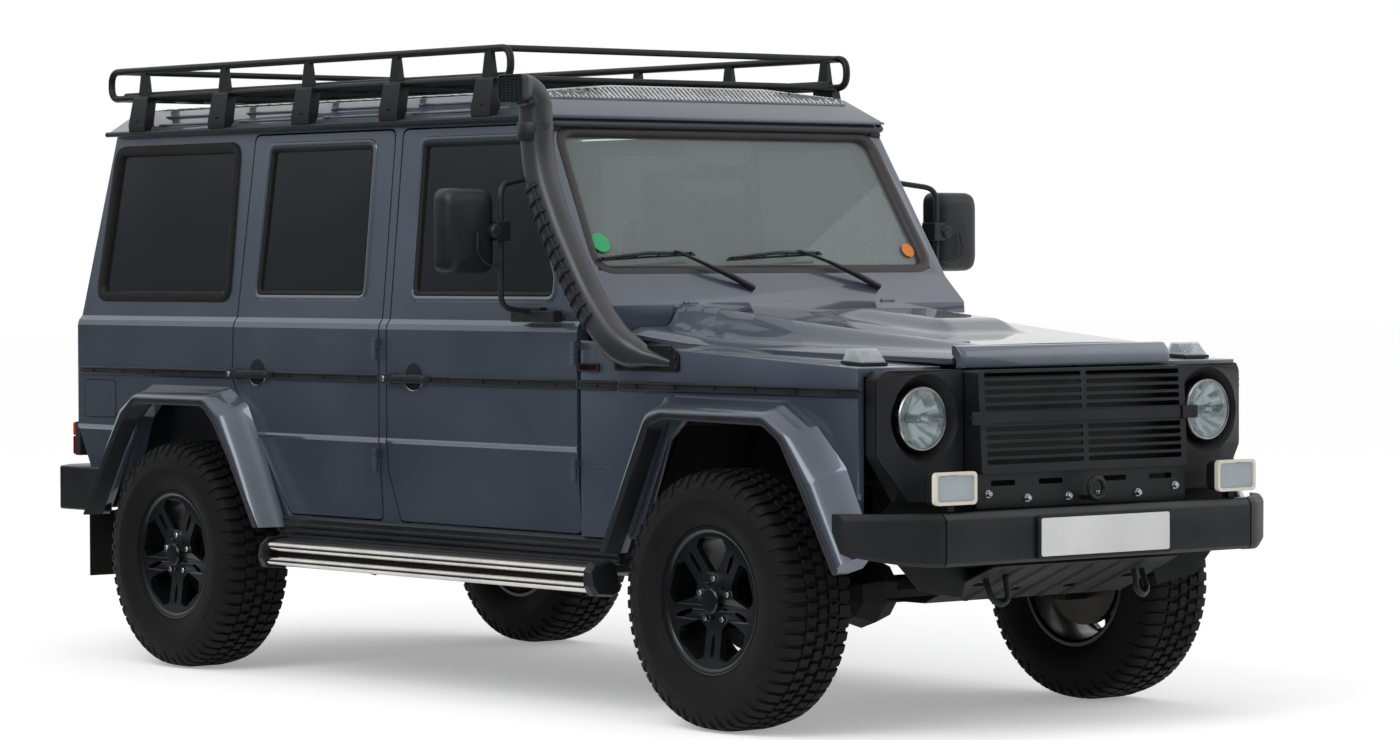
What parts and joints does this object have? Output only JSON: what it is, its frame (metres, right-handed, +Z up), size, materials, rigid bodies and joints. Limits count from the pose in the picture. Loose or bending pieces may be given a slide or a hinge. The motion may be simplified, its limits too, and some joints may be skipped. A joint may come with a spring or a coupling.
{
  "type": "off-road wagon",
  "caption": "Boxy five-door off-road wagon on a ladder frame, with angular flares, roof rack, snorkel, side steps and a spare wheel on the side-hinged rear door.",
  "frame": {"origin": "on the ground below the middle of the vehicle's overall box", "axes": "+X to the front of the vehicle, +Y to its left, +Z up"},
  "size_m": [4.662, 2.22, 2.057],
  "materials": {
    "tyre": "matt",
    "rim": "satin black",
    "paint": "metallic gloss",
    "floor": "satin",
    "black_trim": "satin black",
    "black_steel": "satin black",
    "cast_block": "cast",
    "core": "finned",
    "steel_tube": "polished",
    "glass": "tinted",
    "lens": "clear",
    "cloth": "woven",
    "interior": "grained"
  },
  "bodies": {
    "chassis": {"arch_flares": "black_trim", "body_side_left": "paint", "body_side_right": "paint", "dashboard": "interior", "driveline": "black_steel", "engine_block": "cast_block", "exhaust": "steel_tube", "fixed_glass": "glass", "floor_pan": "floor", "front_axle": "black_steel", "front_bumper": "black_steel", "fuel_tank": "black_steel", "grille": "black_trim", "headlamps": "lens", "ladder_frame": "black_steel", "marker_lamps": "lens", "mud_flaps": "black_trim", "nose_panel": "black_trim", "radiator": "core", "rear_axle": "black_steel", "rear_bumper": "black_steel", "rear_frame": "paint", "roof_panel": "paint", "roof_rack": "black_steel", "seats": "cloth", "side_steps": "steel_tube", "skid_plate": "black_steel", "snorkel": "black_trim", "springs_dampers": "black_steel", "steering_wheel": "interior", "windscreen_frame": "paint", "wing_left": "paint", "wing_right": "paint"},
    "knuckle_left": {"knuckle_left": "black_steel"},
    "knuckle_right": {"knuckle_right": "black_steel"},
    "wheel_front_left": {"tyre_front_left": "tyre", "rim_front_left": "rim"},
    "wheel_front_right": {"tyre_front_right": "tyre", "rim_front_right": "rim"},
    "wheel_rear_left": {"tyre_rear_left": "tyre", "rim_rear_left": "rim"},
    "wheel_rear_right": {"tyre_rear_right": "tyre", "rim_rear_right": "rim"},
    "front_door_left": {"door_front_left": "paint", "glass_front_left": "glass", "mirror_left": "black_trim"},
    "front_door_right": {"door_front_right": "paint", "glass_front_right": "glass", "mirror_right": "black_trim"},
    "rear_door_left": {"door_rear_left": "paint", "glass_rear_left": "glass"},
    "rear_door_right": {"door_rear_right": "paint", "glass_rear_right": "glass"},
    "tailgate": {"rear_door": "paint", "rear_door_glass": "glass", "spare_tyre": "tyre", "spare_rim": "rim"},
    "bonnet": {"hood": "paint"}
  },
  "joints": [
    {"name": "steer_left", "type": "hinge", "parent": "chassis", "child": "knuckle_left", "pos_m": [1.556, 0.6, 0.385], "axis": [0, 0, 1], "range_deg": [-30, 30]},
    {"name": "steer_right", "type": "hinge", "parent": "chassis", "child": "knuckle_right", "pos_m": [1.556, -0.6, 0.385], "axis": [0, 0, 1], "range_deg": [-30, 30]},
    {"name": "spin_front_left", "type": "hinge", "parent": "knuckle_left", "child": "wheel_front_left", "pos_m": [1.556, 0.7375, 0.385], "axis": [0, 1, 0], "continuous": true},
    {"name": "spin_rear_left", "type": "hinge", "parent": "chassis", "child": "wheel_rear_left", "pos_m": [-1.294, 0.7375, 0.385], "axis": [0, 1, 0], "continuous": true},
    {"name": "spin_front_right", "type": "hinge", "parent": "knuckle_right", "child": "wheel_front_right", "pos_m": [1.556, -0.7375, 0.385], "axis": [0, 1, 0], "continuous": true},
    {"name": "spin_rear_right", "type": "hinge", "parent": "chassis", "child": "wheel_rear_right", "pos_m": [-1.294, -0.7375, 0.385], "axis": [0, 1, 0], "continuous": true},
    {"name": "open_front_door_left", "type": "hinge", "parent": "chassis", "child": "front_door_left", "pos_m": [0.849, 0.787, 0.9], "axis": [0, 0, 1], "range_deg": [-70, 0]},
    {"name": "open_rear_door_left", "type": "hinge", "parent": "chassis", "child": "rear_door_left", "pos_m": [-0.187, 0.787, 0.9], "axis": [0, 0, 1], "range_deg": [-70, 0]},
    {"name": "open_front_door_right", "type": "hinge", "parent": "chassis", "child": "front_door_right", "pos_m": [0.849, -0.787, 0.9], "axis": [0, 0, 1], "range_deg": [0, 70]},
    {"name": "open_rear_door_right", "type": "hinge", "parent": "chassis", "child": "rear_door_right", "pos_m": [-0.187, -0.787, 0.9], "axis": [0, 0, 1], "range_deg": [0, 70]},
    {"name": "open_tailgate", "type": "hinge", "parent": "chassis", "child": "tailgate", "pos_m": [-2.025, -0.649, 1], "axis": [0, 0, 1], "range_deg": [0, 90]},
    {"name": "open_bonnet", "type": "hinge", "parent": "chassis", "child": "bonnet", "pos_m": [0.95, 0, 1.248], "axis": [0, -1, 0], "range_deg": [0, 50]}
  ],
  "couplings": [
    {"joint": "steer_right", "follows": "steer_left", "ratio": 1}
  ]
}
